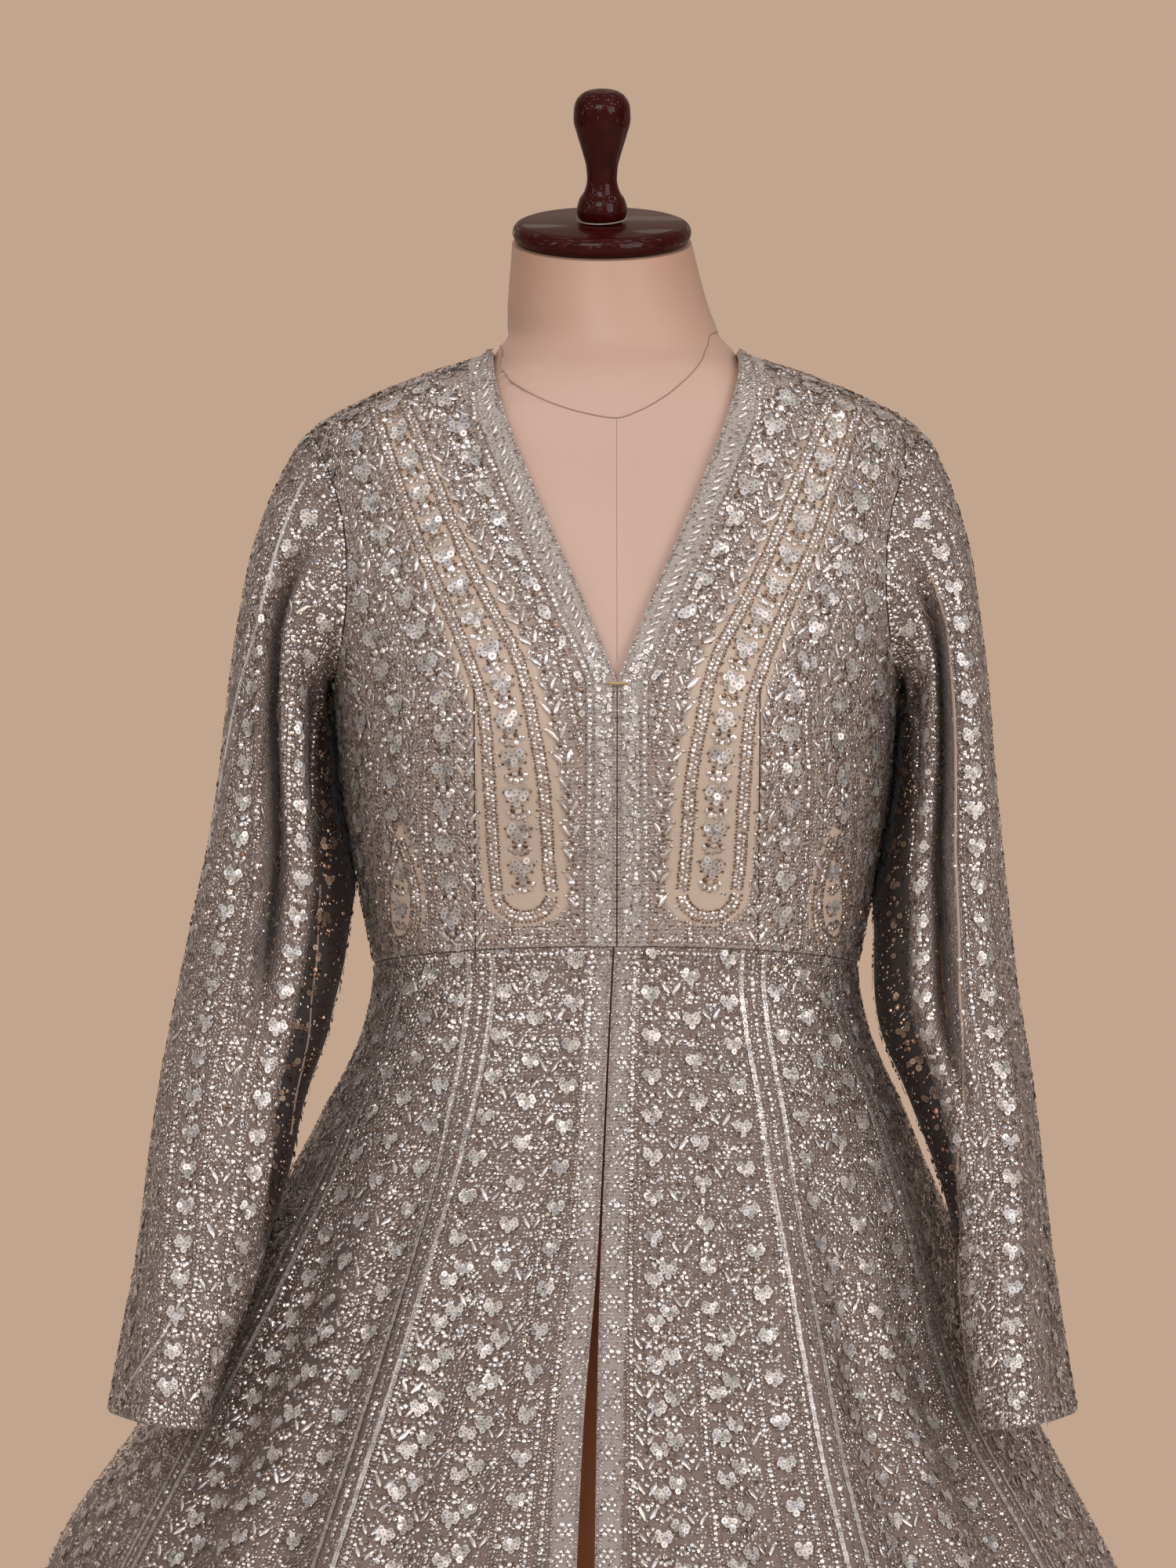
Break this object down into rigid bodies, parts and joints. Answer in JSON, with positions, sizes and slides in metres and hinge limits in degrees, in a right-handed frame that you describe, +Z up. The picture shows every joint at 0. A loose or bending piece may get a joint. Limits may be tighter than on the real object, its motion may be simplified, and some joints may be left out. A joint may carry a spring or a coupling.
{
  "type": "embroidered jacket dress on a dress form with a stand",
  "caption": "Full-length flared open-front dress with a deep V neck and long sleeves, worn by a limbless dress form with a turned finial on a pole and a round base.",
  "frame": {"origin": "centre of the underside of the stand's base, on the floor", "axes": "+Z up along the pole, -Y towards the garment's open front, +X to the right of someone who looks at the front"},
  "size_m": [1.2638, 1.2537, 1.5992],
  "materials": {
    "embroidered_cloth": "taupe net on lining, covered with columns of sequins, crystals and beads",
    "sequin_border": "close silver sequin and bead border",
    "gold_thread": "twisted gold thread",
    "form_cover": "smooth beige jersey cover of the dress form",
    "lacquer": "turned wood in high-gloss red-brown lacquer",
    "stand_steel": "satin grey paint",
    "stand_wood": "dark varnished wood"
  },
  "bodies": {
    "root": {"bodice_front_left": "embroidered_cloth", "bodice_front_right": "embroidered_cloth", "bodice_back": "embroidered_cloth", "sleeve_left": "embroidered_cloth", "sleeve_right": "embroidered_cloth", "skirt_panel_01": "embroidered_cloth", "skirt_panel_02": "embroidered_cloth", "skirt_panel_03": "embroidered_cloth", "skirt_panel_04": "embroidered_cloth", "skirt_panel_05": "embroidered_cloth", "skirt_panel_06": "embroidered_cloth", "skirt_panel_07": "embroidered_cloth", "skirt_panel_08": "embroidered_cloth", "skirt_panel_09": "embroidered_cloth", "skirt_panel_10": "embroidered_cloth", "skirt_panel_11": "embroidered_cloth", "skirt_panel_12": "embroidered_cloth", "border_left": "sequin_border", "border_right": "sequin_border", "border_back": "sequin_border", "closure_bar": "gold_thread", "form_torso": "form_cover", "form_cap": "lacquer", "form_finial": "lacquer", "stand_pole": "stand_steel", "stand_base": "stand_wood"}
  },
  "joints": []
}
